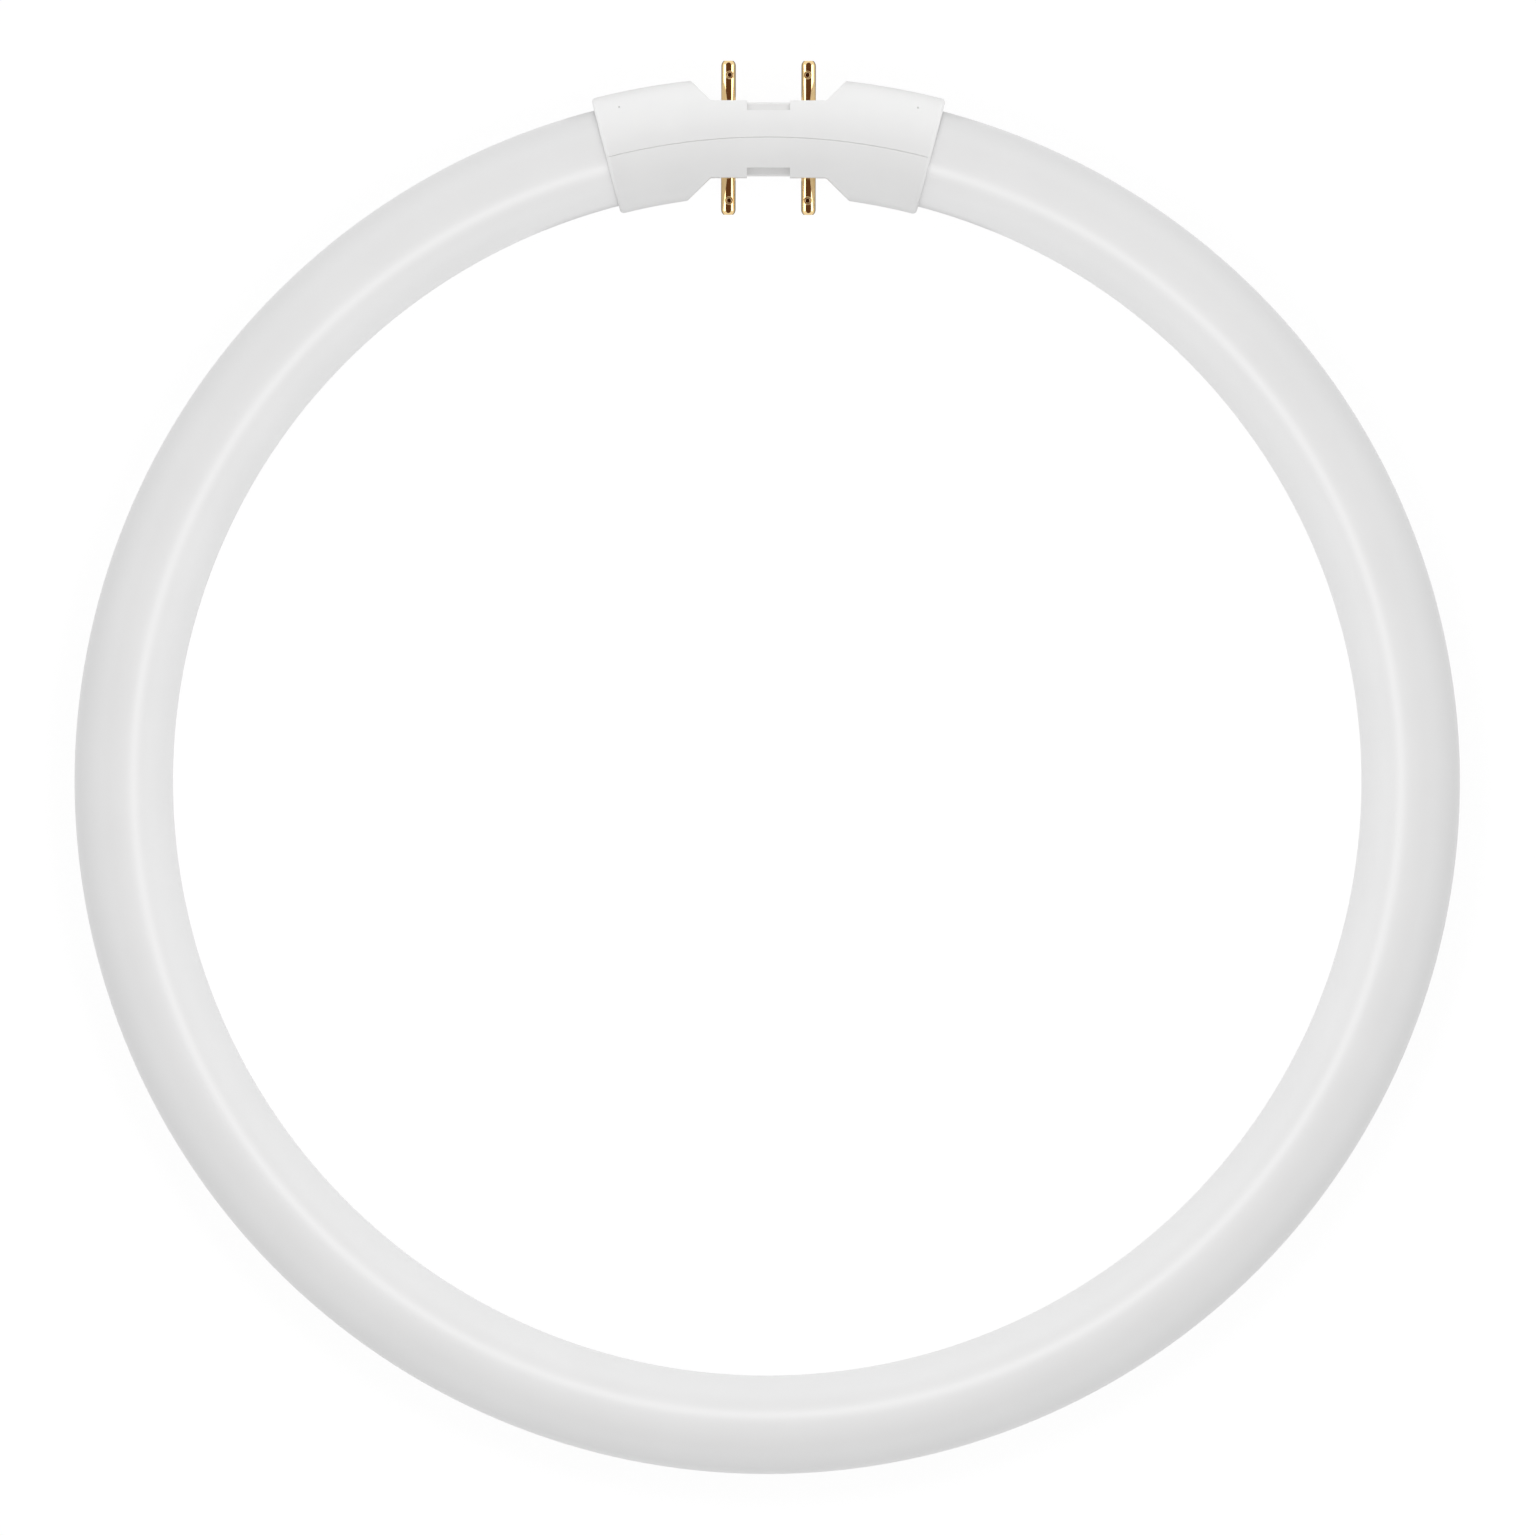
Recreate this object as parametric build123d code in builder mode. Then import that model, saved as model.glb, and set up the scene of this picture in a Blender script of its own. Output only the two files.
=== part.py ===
from build123d import *
from math import cos, degrees, radians, sin, sqrt, tan
import os

# A circular LED tube: a bent opal glass ring, closed by a plastic cap of two shells with four contact pins.
# Millimetres. The origin is the ring's centre in its middle plane, +Z is the ring's axis and the cap is at +Y.
# A bearing is an angle about the ring's axis in degrees, counted from +Y and growing towards +X.

os.makedirs("parts", exist_ok=True)

# Glass ring
ring_outer_diameter = 225.0
tube_diameter = 16.0
glass_wall = 0.8
tube_gap_length = 35.0  # between the tube's two cut ends, along its centreline

# LED strip, which lies on the tube's inner-radius wall and faces outwards
strip_width = 6.0
strip_thickness = 0.3
strip_setback = 1.6  # from the tube's end to the strip's end, along the centreline
strip_seat_clearance = 0.02
led_count = 84
led_length = 2.8
led_width = 3.5
led_height = 0.7
led_end_margin = 7.0  # from the strip's end to its last LED, left free for the wire

# Cap shells
cap_length = 53.2  # along the tube's centreline
collar_wall = 1.4
collar_offset = 0.3  # the collars sit a little outside the tube's centreline
cap_wall = 1.6  # around the driver
collar_rim_radius = 0.7
bond_gap = 0.25  # glue between tube and collar
bond_clearance = 0.03
bond_setback = 1.0  # from the collar's mouth to the glue
stop_thickness = 1.5  # ribs that the tube's ends butt against
stop_clearance = 0.2
stop_reach = 0.3  # how far a rib stands inside the glass bore
parting_gap = 0.03
parting_groove = 0.1  # half the width of the fine groove that the parting line shows as

# Waist between the collars, flat-sided for the lamp holder's clip
waist_width = 12.5
waist_offset = -0.25  # of the waist's middle from the tube's centreline
waist_length = 18.8
waist_wall = 2.4
shoulder_angle = 45.0
shoulder_foot_radius = {"outer": 0.8, "inner": 0.4}
waist_edge_radius = 0.3  # where the flat sides and the shoulders meet the round of the sleeve
notch_width = 7.0
notch_depth = 1.6
notch_floor_height = 5.0
notch_edge_radius = 0.3
clip_groove_depth = 0.3
gate_mark_radius = 0.18
gate_mark_depth = 0.25
gate_mark_setback = 3.8  # from the collar's mouth, along the tube's centreline
gate_mark_offset = 7.5  # outwards from the tube's centreline

# Contact pins
pin_pitch = 13.0
pin_diameter = 2.35
pin_tip_span = 25.0  # from the outward tips to the inward tips, centred on the tube's centreline
pin_wall = 0.4
pin_nose_length = 0.85
pin_nose_flat_diameter = 1.56
pin_mouth_diameter = 0.9
pin_flange_diameter = 3.4
pin_flange_thickness = 0.5
pin_shank_diameter = 2.8  # the part that is pressed into the shell
pin_seat_clearance = 0.02
pin_boss_diameter = 5.0
pin_boss_height = 0.8
crimp_setback = 2.3  # from the pin's tip
# Of a crimp about its pin: the inner seats face the other way, so both turn towards the cap's middle
crimp_turn = {"outer": 9.0, "inner": -6.0}
crimp_diameter = 1.36
crimp_rim_height = 0.05
crimp_rim_radius = 0.13  # on both edges of the rim, which is nearly half round
crimp_mouth_diameter = 0.74
crimp_pit_depth = 0.55
crimp_pit_diameter = 0.36
crimp_wire_clearance = 0.06

# Wires
pin_lead_diameter = 0.6
pin_lead_bend_radius = 0.7
pin_lead_offset = 2.2  # of the hole in the board from the pin's axis, along Z
strip_lead_diameter = 0.8
strip_lead_bend_radius = 1.6
wire_hole_clearance = 0.1
wire_stub = 0.4  # past the board's far face

# Driver board, between the two shells
board_thickness = 1.0
board_end_clearance = 1.24  # to the stop ribs
board_side_clearance = 0.2
post_length = 0.9
post_width = 1.2
post_end_inset = 0.3
post_side_inset = 0.2
post_clearance = 0.05

# Snap hooks of the inner shell, and the ribs of the outer shell that they hold
hook_length = 3.0
hook_thickness = 1.0
hook_wall_gap = 1.05  # between a hook's back and the driver room's widest wall
hook_rise = 2.9  # above the parting line
hook_nose = 0.5
hook_nose_height = 1.0
hook_place = 2.3  # of the hook's middle from the pin's axis, away from the middle of the cap
catch_thickness = 1.0
catch_clearance = 0.1

# Locating lip along the parting line
lip_thickness = 0.5
lip_height = 0.6
lip_root = 0.5
lip_inset = 0.6  # from the outside of the cap
lip_clearance = 0.08
lip_end_setback = 3.0

# Components on the board
rectifier_size = (4.7, 4.0, 1.5)
driver_ic_size = (4.9, 3.9, 1.5)
chip_standoff = 0.1
chip_gap = 1.6  # between the two chips' bodies
leg_pitch = 1.27
leg_width = 0.4
leg_thickness = 0.2
leg_reach = 0.6
leg_foot = 0.35
capacitor_diameter = 3.2
capacitor_length = 8.4
capacitor_groove = 0.2
capacitor_groove_place = 1.0  # from the end with the leads
capacitor_lead_pitch = 1.5
component_lead_diameter = 0.5
component_standoff = 0.1
capacitor_side_gap = 0.3  # from the can to the outer shell's posts
film_capacitor_size = (2.4, 7.0, 3.1)
film_capacitor_lead_pitch = 3.5
choke_diameter = 4.2
choke_height = 1.9
choke_flange = 0.4
choke_core_diameter = 2.0
choke_winding_diameter = 3.6
winding_clearance = 0.03
resistor_diameter = 2.0
resistor_length = 5.0
resistor_cap_length = 0.8
resistor_cap_wall = 0.1
resistor_pitch = 4.4
strip_lead_end_inset = 0.6
strip_lead_component_gap = 0.3  # from the wire to the film capacitor and the choke
strip_lead_drop = 2.6  # straight down from the board before the first bend
strip_lead_window_rise = 0.2  # over the strip's level, where the wire passes into the tube
strip_lead_window_depth = 0.9  # of that place inside the tube's end

# Worked out from the sizes above
ring_radius = (ring_outer_diameter - tube_diameter) / 2
tube_radius = tube_diameter / 2
glass_bore_radius = tube_radius - glass_wall
pocket_radius = tube_radius + bond_gap
collar_radius = pocket_radius + collar_wall
collar_ring_radius = ring_radius + collar_offset
driver_room_radius = collar_radius - cap_wall
cap_reach = 2 * collar_radius
waist_centre = ring_radius + waist_offset
pin_radius = pin_diameter / 2
pin_bore_radius = pin_radius - pin_wall
pin_grip = waist_wall + pin_boss_height
lead_radius = pin_lead_diameter / 2
hook_outer_height = driver_room_radius - hook_wall_gap
hook_inner_height = hook_outer_height - hook_thickness
board_width = 2 * (hook_inner_height - board_side_clearance)
board_outer_face = waist_centre + board_thickness / 2
board_inner_face = waist_centre - board_thickness / 2
pin_places = {"left": -pin_pitch / 2, "right": pin_pitch / 2}
sides = {"outer": 1, "inner": -1}


def bearing_of(length):
    """The bearing that a length along the tube's centreline covers."""
    return degrees(length / ring_radius)


cap_end = bearing_of(cap_length / 2)
tube_end = bearing_of(tube_gap_length / 2)
stop_far = tube_end - bearing_of(stop_clearance)
stop_near = stop_far - bearing_of(stop_thickness)
board_length = 2 * (ring_radius * sin(radians(stop_near)) - board_end_clearance)
strip_end = tube_end + bearing_of(strip_setback)


def radial_plane(bearing):
    """The plane through the ring's axis at a bearing: local x points outwards and local y is up."""
    outwards = Vector(sin(radians(bearing)), cos(radians(bearing)), 0)
    return Plane(origin=(0, 0, 0), x_dir=outwards, z_dir=outwards.cross(Vector(0, 0, 1)))


def bent_bar(radius, centre_radius, first, last, bore=0.0, mode=Mode.ADD):
    """A round bar or tube bent about the ring's axis, from one bearing to the next."""
    with BuildSketch(radial_plane(last)) as section:
        with Locations((centre_radius, 0)):
            Circle(radius)
            if bore > 0:
                Circle(bore, mode=Mode.SUBTRACT)
    revolve(section.sketch, axis=Axis.Z, revolution_arc=last - first, mode=mode)


def bent_rib(inner_radius, outer_radius, low, high, first, last, mode=Mode.ADD):
    """A rectangular rib bent about the ring's axis, between two radii and two heights."""
    with BuildSketch(radial_plane(last)) as section:
        with Locations(((inner_radius + outer_radius) / 2, (low + high) / 2)):
            Rectangle(outer_radius - inner_radius, high - low)
    revolve(section.sketch, axis=Axis.Z, revolution_arc=last - first, mode=mode)


def waist_face(side, x=0.0):
    """The plane on one flat side of the waist, at a place along it: local y points out of the cap."""
    face = waist_centre + side * waist_width / 2
    return Plane(origin=(x, face, 0), x_dir=(side, 0, 0), z_dir=(0, 0, 1))


def outside_of_waist(side, wall=0.0):
    """Takes away all that lies beyond one side of the waist and its shoulders, less a wall."""
    half_length = waist_length / 2 + wall * tan(radians(shoulder_angle / 2))
    spread = cap_reach / tan(radians(shoulder_angle))
    with BuildSketch(waist_face(side)) as beyond:
        with BuildLine():
            Polyline(
                (-half_length, -wall),
                (half_length, -wall),
                (half_length + spread, cap_reach - wall),
                (-half_length - spread, cap_reach - wall),
                close=True,
            )
        make_face()
    extrude(beyond.sketch, amount=cap_reach, both=True, mode=Mode.SUBTRACT)


def upright_block(x, z, length, width, first_y, last_y, mode=Mode.ADD):
    """A block standing on the board's plane, between two places along Y."""
    with Locations((x, (first_y + last_y) / 2, z)):
        Box(length, abs(last_y - first_y), width, mode=mode)


def wire(points, diameter, bend_radius):
    """A round wire along straight runs joined by bends of one radius."""
    with BuildLine() as route:
        FilletPolyline(*points, radius=bend_radius)
    with BuildSketch(Plane(origin=route.line @ 0, z_dir=route.line % 0)) as section:
        Circle(diameter / 2)
    sweep(section.sketch, path=route.line)


# The tube, open at both ends under the cap
with BuildPart() as glass_tube:
    bent_bar(tube_radius, ring_radius, tube_end, 360 - tube_end, bore=glass_bore_radius)
glass_tube.part.label = "glass_tube"
export_step(glass_tube.part, "parts/glass_tube.step")

# The LED strip stands off the bore by the height of the circle segment that its width cuts off
strip_back_radius = ring_radius - sqrt(glass_bore_radius**2 - (strip_width / 2) ** 2) + strip_seat_clearance
strip_face_radius = strip_back_radius + strip_thickness

with BuildPart() as led_strip:
    bent_rib(
        strip_back_radius,
        strip_face_radius,
        -strip_width / 2,
        strip_width / 2,
        strip_end,
        360 - strip_end,
    )
led_strip.part.label = "led_strip"
export_step(led_strip.part, "parts/led_strip.step")

# Silicone fills the segment between the strip's back and the glass
with BuildPart() as strip_adhesive:
    with BuildSketch(radial_plane(360 - strip_end)) as bead:
        with Locations((ring_radius, 0)):
            Circle(glass_bore_radius - strip_seat_clearance)
        with Locations((strip_back_radius - strip_seat_clearance, 0)):
            Rectangle(cap_reach, cap_reach, align=(Align.MIN, Align.CENTER), mode=Mode.SUBTRACT)
    revolve(axis=Axis.Z, revolution_arc=360 - 2 * strip_end)
strip_adhesive.part.label = "strip_adhesive"
export_step(strip_adhesive.part, "parts/strip_adhesive.step")

# LEDs in one even row along the strip
first_led = strip_end + bearing_of(led_end_margin)
led_pitch = (360 - 2 * first_led) / (led_count - 1)
led_seats = []
for place in range(led_count):
    outwards = radial_plane(first_led + place * led_pitch).x_dir
    seat_centre = outwards * (strip_face_radius + strip_seat_clearance)
    led_seats.append(Plane(origin=seat_centre, x_dir=(0, 0, 1), z_dir=outwards))
with BuildPart() as led_packages:
    with Locations(*led_seats):
        Box(led_width, led_length, led_height, align=(Align.CENTER, Align.CENTER, Align.MIN))
led_packages.part.label = "led_packages"
export_step(led_packages.part, "parts/led_packages.step")

# Glue between the tube's ends and the collars
bond_end = cap_end - bearing_of(bond_setback)
for side_name, side in (("left", -1), ("right", 1)):
    bond_bearings = sorted((side * tube_end, side * bond_end))
    with BuildPart() as tube_bond:
        bent_bar(
            pocket_radius - bond_clearance,
            ring_radius,
            *bond_bearings,
            bore=tube_radius + bond_clearance,
        )
    tube_bond.part.label = f"tube_bond_{side_name}"
    export_step(tube_bond.part, f"parts/tube_bond_{side_name}.step")

def clip_seat(side):
    """Cuts the clip's two notches, and the groove between them, into one side of the waist."""
    with BuildSketch(waist_face(side)) as groove:
        Rectangle(notch_width, 2 * clip_groove_depth)
    extrude(groove.sketch, amount=cap_reach, both=True, mode=Mode.SUBTRACT)
    for end in (-1, 1):
        with BuildSketch(waist_face(side).offset(end * notch_floor_height)) as notch:
            Rectangle(notch_width, 2 * notch_depth)
        extrude(notch.sketch, amount=end * cap_reach, mode=Mode.SUBTRACT)


# The cap's outside: a round sleeve bent with the tube, cut flat on both sides for the waist
with BuildPart() as cap_outside:
    bent_bar(collar_radius, collar_ring_radius, -cap_end, cap_end)
    fillet(cap_outside.faces().filter_by(GeomType.PLANE).edges(), radius=collar_rim_radius)
    for side in sides.values():
        outside_of_waist(side)
    for side_name, side in sides.items():
        feet = cap_outside.edges().filter_by(Axis.Z).sort_by(Axis.Y)[::side][-2:]
        fillet(feet, radius=shoulder_foot_radius[side_name])
    mouths = cap_outside.faces().filter_by(GeomType.PLANE).sort_by(Axis.X)
    waist_edges = mouths[1:-1].edges().filter_by(GeomType.LINE, reverse=True)
    fillet(waist_edges, radius=waist_edge_radius)
    for side in sides.values():
        clip_seat(side)
    floor_edges = cap_outside.edges().filter_by(Axis.X)
    outermost_edges = floor_edges.sort_by(lambda edge: abs(edge.center().Y - waist_centre))[-4:]
    fillet(outermost_edges, radius=notch_edge_radius)
    seam_height = sqrt(collar_radius**2 - collar_offset**2)
    for end in (-1, 1):
        with BuildSketch(radial_plane(cap_end)) as groove:
            with Locations((ring_radius, end * seam_height)):
                RegularPolygon(parting_groove, 4)
        revolve(groove.sketch, axis=Axis.Z, revolution_arc=2 * cap_end, mode=Mode.SUBTRACT)
    gate_rise = sqrt(collar_radius**2 - (gate_mark_offset - collar_offset) ** 2)
    gate_bearing = cap_end - bearing_of(gate_mark_setback)
    with BuildSketch(Plane.XY.offset(gate_rise - gate_mark_depth)) as gate_marks:
        for end in (-1, 1):
            with Locations(radial_plane(end * gate_bearing).x_dir * (ring_radius + gate_mark_offset)):
                Circle(gate_mark_radius)
    extrude(gate_marks.sketch, amount=gate_mark_depth + cap_wall, mode=Mode.SUBTRACT)

# The cap's inside: the driver's room, the pockets for the tube's ends and the windows in the stop ribs
with BuildPart() as cap_inside:
    bent_bar(driver_room_radius, collar_ring_radius, -stop_near, stop_near)
    for first, last in ((stop_near, stop_far), (-stop_far, -stop_near)):
        bent_bar(glass_bore_radius - stop_reach, ring_radius, first, last)
    past_mouth = cap_end + bearing_of(cap_wall)
    for first, last in ((stop_far, past_mouth), (-past_mouth, -stop_far)):
        bent_bar(pocket_radius, ring_radius, first, last)
    for side in sides.values():
        outside_of_waist(side, wall=waist_wall)

post_x = board_length / 2 - post_end_inset - post_length / 2
post_z = board_width / 2 - post_side_inset - post_width / 2
hook_x = pin_pitch / 2 + hook_place
lip_high = collar_radius - lip_inset
lip_low = lip_high - lip_thickness
lip_end = cap_end - bearing_of(lip_end_setback)
catch_bottom = ring_radius + hook_rise - hook_nose_height - catch_clearance - catch_thickness
corners = [(x, z) for x in (-1, 1) for z in (-1, 1)]


def pin_seats(side):
    """The bores and bosses of the two pins in one side of the waist."""
    for x in pin_places.values():
        seat = waist_face(side, x)
        with BuildSketch(Plane(origin=seat.origin, z_dir=-seat.y_dir)) as boss:
            Circle(pin_boss_diameter / 2)
        extrude(boss.sketch, amount=pin_grip)
        with BuildSketch(Plane(origin=seat.origin, z_dir=-seat.y_dir)) as bore:
            Circle(pin_shank_diameter / 2 + pin_seat_clearance)
        extrude(bore.sketch, amount=pin_grip, mode=Mode.SUBTRACT)


# The outer shell, with the posts that hold the board down and the ribs that the snap hooks catch
with BuildPart() as outer_cap_shell:
    add(cap_outside.part)
    add(cap_inside.part, mode=Mode.SUBTRACT)
    Cylinder(ring_radius + parting_gap / 2, 2 * cap_reach, mode=Mode.SUBTRACT)
    for x, z in corners:
        upright_block(
            x * post_x,
            z * post_z,
            post_length,
            post_width,
            board_outer_face + post_clearance,
            board_outer_face + cap_reach,
        )
        upright_block(
            x * hook_x,
            z * (hook_outer_height + catch_clearance + hook_wall_gap),
            hook_length,
            2 * hook_wall_gap,
            catch_bottom,
            catch_bottom + catch_thickness,
        )
    pin_seats(sides["outer"])
    for end in (-1, 1):
        bent_rib(
            ring_radius - lip_root,
            ring_radius + lip_height + lip_clearance,
            *sorted((end * (lip_low - lip_clearance), end * (lip_high + lip_clearance))),
            -lip_end,
            lip_end,
            mode=Mode.SUBTRACT,
        )
    add(cap_outside.part, mode=Mode.INTERSECT)
outer_cap_shell.part.label = "outer_cap_shell"
export_step(outer_cap_shell.part, "parts/outer_cap_shell.step")

# The inner shell, with the posts that the board lies on, the snap hooks and the locating lip
with BuildPart() as inner_cap_shell:
    add(cap_outside.part)
    add(cap_inside.part, mode=Mode.SUBTRACT)
    Cylinder(ring_radius - parting_gap / 2, 2 * cap_reach, mode=Mode.INTERSECT)
    for x, z in corners:
        upright_block(
            x * post_x,
            z * post_z,
            post_length,
            post_width,
            board_inner_face - cap_reach,
            board_inner_face,
        )
        upright_block(
            x * hook_x,
            z * (hook_inner_height + hook_thickness / 2),
            hook_length,
            hook_thickness,
            waist_centre - waist_width / 2 + waist_wall / 2,
            ring_radius + hook_rise,
        )
        upright_block(
            x * hook_x,
            z * (hook_outer_height + hook_nose / 2),
            hook_length,
            hook_nose,
            ring_radius + hook_rise - hook_nose_height,
            ring_radius + hook_rise,
        )
    pin_seats(sides["inner"])
    for end in (-1, 1):
        bent_rib(
            ring_radius - lip_root,
            ring_radius + lip_height,
            *sorted((end * lip_low, end * lip_high)),
            -lip_end,
            lip_end,
        )
    add(cap_outside.part, mode=Mode.INTERSECT)
inner_cap_shell.part.label = "inner_cap_shell"
export_step(inner_cap_shell.part, "parts/inner_cap_shell.step")

# Hollow pins, pushed in from inside against their flanges; each is punched from the front onto its wire
for side_name, side in sides.items():
    tip = pin_tip_span / 2 - side * waist_offset - waist_width / 2
    for place_name, x in pin_places.items():
        seat = waist_face(side, x)
        with BuildPart() as pin:
            with BuildSketch(seat):
                with BuildLine():
                    nose = TangentArc(
                        (pin_radius, tip - pin_nose_length),
                        (pin_nose_flat_diameter / 2, tip),
                        tangent=(0, 1),
                    )
                    Polyline(
                        nose @ 1,
                        (pin_mouth_diameter / 2, tip),
                        (pin_mouth_diameter / 2, tip - pin_wall),
                        (pin_bore_radius, tip - pin_nose_length),
                        (pin_bore_radius, -pin_grip - pin_flange_thickness),
                        (pin_flange_diameter / 2, -pin_grip - pin_flange_thickness),
                        (pin_flange_diameter / 2, -pin_grip),
                        (pin_shank_diameter / 2, -pin_grip),
                        (pin_shank_diameter / 2, 0),
                        (pin_radius, 0),
                        nose @ 0,
                    )
                make_face()
            revolve(axis=Axis(seat.origin, seat.y_dir))
            towards_middle = -side if x > 0 else side
            punched = seat.rotated((0, towards_middle * crimp_turn[side_name], 0))
            with BuildSketch(punched.offset(lead_radius + crimp_wire_clearance)):
                with Locations((0, tip - crimp_setback)):
                    Circle(crimp_diameter / 2)
            extrude(amount=pin_radius + crimp_rim_height - lead_radius - crimp_wire_clearance)
            with BuildSketch(punched.offset(pin_radius + crimp_rim_height)):
                with Locations((0, tip - crimp_setback)):
                    Circle(crimp_mouth_diameter / 2)
            with BuildSketch(punched.offset(pin_radius + crimp_rim_height - crimp_pit_depth)):
                with Locations((0, tip - crimp_setback)):
                    Circle(crimp_pit_diameter / 2)
            loft(mode=Mode.SUBTRACT)
            rim = pin.faces().filter_by(GeomType.PLANE).sort_by(Axis.Z)[-1]
            fillet(rim.edges(), radius=crimp_rim_radius)
        pin.part.label = f"pin_{side_name}_{place_name}"
        export_step(pin.part, f"parts/pin_{side_name}_{place_name}.step")

        # The wire runs up the pin's bore to its mouth, and jogs sideways to its own hole in the board
        lead_points = [
            (0, tip - pin_wall, 0),
            (0, -pin_grip - pin_flange_thickness - lead_radius, 0),
            (0, board_thickness / 2 - waist_width / 2 + lead_radius, side * pin_lead_offset),
            (0, -board_thickness / 2 - waist_width / 2 - wire_stub, side * pin_lead_offset),
        ]
        with BuildPart() as pin_lead:
            wire(
                [seat.from_local_coords(point) for point in lead_points],
                pin_lead_diameter,
                pin_lead_bend_radius,
            )
        pin_lead.part.label = f"pin_lead_{side_name}_{place_name}"
        export_step(pin_lead.part, f"parts/pin_lead_{side_name}_{place_name}.step")

# Where the components stand on the board
strip_lead_x = board_length / 2 - strip_lead_end_inset
strip_lead_side = strip_lead_x - strip_lead_diameter / 2
capacitor_x = post_x - post_length / 2 - capacitor_side_gap - capacitor_diameter / 2
film_capacitor_x = strip_lead_side - strip_lead_component_gap - film_capacitor_size[0] / 2
choke_x = strip_lead_component_gap + choke_diameter / 2 - strip_lead_side
capacitor_lead_z = -capacitor_length / 2 - component_lead_diameter

with BuildPart() as driver_board:
    upright_block(0, 0, board_length, board_width, board_inner_face, board_outer_face)
    lead_holes = [(x, side * pin_lead_offset) for x in pin_places.values() for side in sides.values()]
    with BuildSketch(Plane.XZ.offset(-board_outer_face)):
        with Locations(*lead_holes):
            Circle(lead_radius + wire_hole_clearance)
        with Locations((-strip_lead_x, 0), (strip_lead_x, 0)):
            Circle(strip_lead_diameter / 2 + wire_hole_clearance)
        with Locations((capacitor_x, capacitor_lead_z)):
            with GridLocations(capacitor_lead_pitch, 0, 2, 1):
                Circle(component_lead_diameter / 2 + wire_hole_clearance)
    extrude(amount=board_thickness, mode=Mode.SUBTRACT)
driver_board.part.label = "driver_board"
export_step(driver_board.part, "parts/driver_board.step")


def surface_chip(size, z, legs_per_side):
    """A moulded chip on the board's outer face, its bent legs in a row along each long side."""
    length, width, height = size
    base = board_outer_face + chip_standoff
    upright_block(0, z, length, width, base, base + height)
    shoulder = base + (height + leg_thickness) / 2
    for row in (-1, 1):
        edge = z + row * width / 2
        knee = edge + row * leg_reach / 2
        toe = knee + row * leg_foot
        for place in range(legs_per_side):
            leg_x = (place - (legs_per_side - 1) / 2) * leg_pitch
            with BuildSketch(Plane.YZ.offset(leg_x - leg_width / 2)) as leg:
                with BuildLine():
                    Polyline(
                        (shoulder, edge),
                        (shoulder, knee + row * leg_thickness),
                        (board_outer_face + leg_thickness, knee + row * leg_thickness),
                        (board_outer_face + leg_thickness, toe),
                        (board_outer_face, toe),
                        (board_outer_face, knee),
                        (shoulder - leg_thickness, knee),
                        (shoulder - leg_thickness, edge),
                        close=True,
                    )
                make_face()
            extrude(leg.sketch, amount=leg_width)


with BuildPart() as bridge_rectifier:
    surface_chip(rectifier_size, -(rectifier_size[1] + chip_gap) / 2, 2)
bridge_rectifier.part.label = "bridge_rectifier"
export_step(bridge_rectifier.part, "parts/bridge_rectifier.step")

with BuildPart() as driver_ic:
    surface_chip(driver_ic_size, (driver_ic_size[1] + chip_gap) / 2, 4)
driver_ic.part.label = "driver_ic"
export_step(driver_ic.part, "parts/driver_ic.step")

# A small can capacitor lies along Z on the board's outer face, with both leads bent down into the board
capacitor_y = board_outer_face + component_standoff + capacitor_diameter / 2
with BuildPart() as input_capacitor:
    with BuildSketch(Plane.YZ.offset(capacitor_x)):
        with BuildLine():
            groove_z = -capacitor_length / 2 + capacitor_groove_place
            can_wall = capacitor_y + capacitor_diameter / 2
            Polyline(
                (capacitor_y, -capacitor_length / 2),
                (can_wall, -capacitor_length / 2),
                (can_wall, groove_z - capacitor_groove),
                (can_wall - capacitor_groove, groove_z),
                (can_wall, groove_z + capacitor_groove),
                (can_wall, capacitor_length / 2),
                (capacitor_y, capacitor_length / 2),
                close=True,
            )
        make_face()
    revolve(axis=Axis((capacitor_x, capacitor_y, 0), (0, 0, 1)))
    for lead in (-1, 1):
        lead_x = capacitor_x + lead * capacitor_lead_pitch / 2
        wire(
            [
                (lead_x, capacitor_y, -capacitor_length / 2),
                (lead_x, capacitor_y, capacitor_lead_z),
                (lead_x, board_inner_face, capacitor_lead_z),
            ],
            component_lead_diameter,
            component_lead_diameter / 2 + wire_hole_clearance,
        )
input_capacitor.part.label = "input_capacitor"
export_step(input_capacitor.part, "parts/input_capacitor.step")

with BuildPart() as film_capacitor:
    film_top = board_inner_face - component_standoff
    length, width, height = film_capacitor_size
    upright_block(film_capacitor_x, 0, length, width, film_top - height, film_top)
    for end in (-1, 1):
        upright_block(
            film_capacitor_x,
            end * film_capacitor_lead_pitch / 2,
            component_lead_diameter,
            component_lead_diameter,
            film_top,
            board_inner_face,
        )
film_capacitor.part.label = "film_capacitor"
export_step(film_capacitor.part, "parts/film_capacitor.step")

# The choke: a ferrite drum with its winding between the flanges
with BuildPart() as choke_core:
    with BuildSketch(Plane.XZ.offset(-board_outer_face)):
        with Locations((choke_x, 0)):
            Circle(choke_diameter / 2)
    extrude(amount=-choke_height)
    with BuildSketch(Plane.XZ.offset(-board_outer_face - choke_flange)):
        with Locations((choke_x, 0)):
            Circle(choke_diameter / 2)
            Circle(choke_core_diameter / 2, mode=Mode.SUBTRACT)
    extrude(amount=2 * choke_flange - choke_height, mode=Mode.SUBTRACT)
choke_core.part.label = "choke_core"
export_step(choke_core.part, "parts/choke_core.step")

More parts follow.
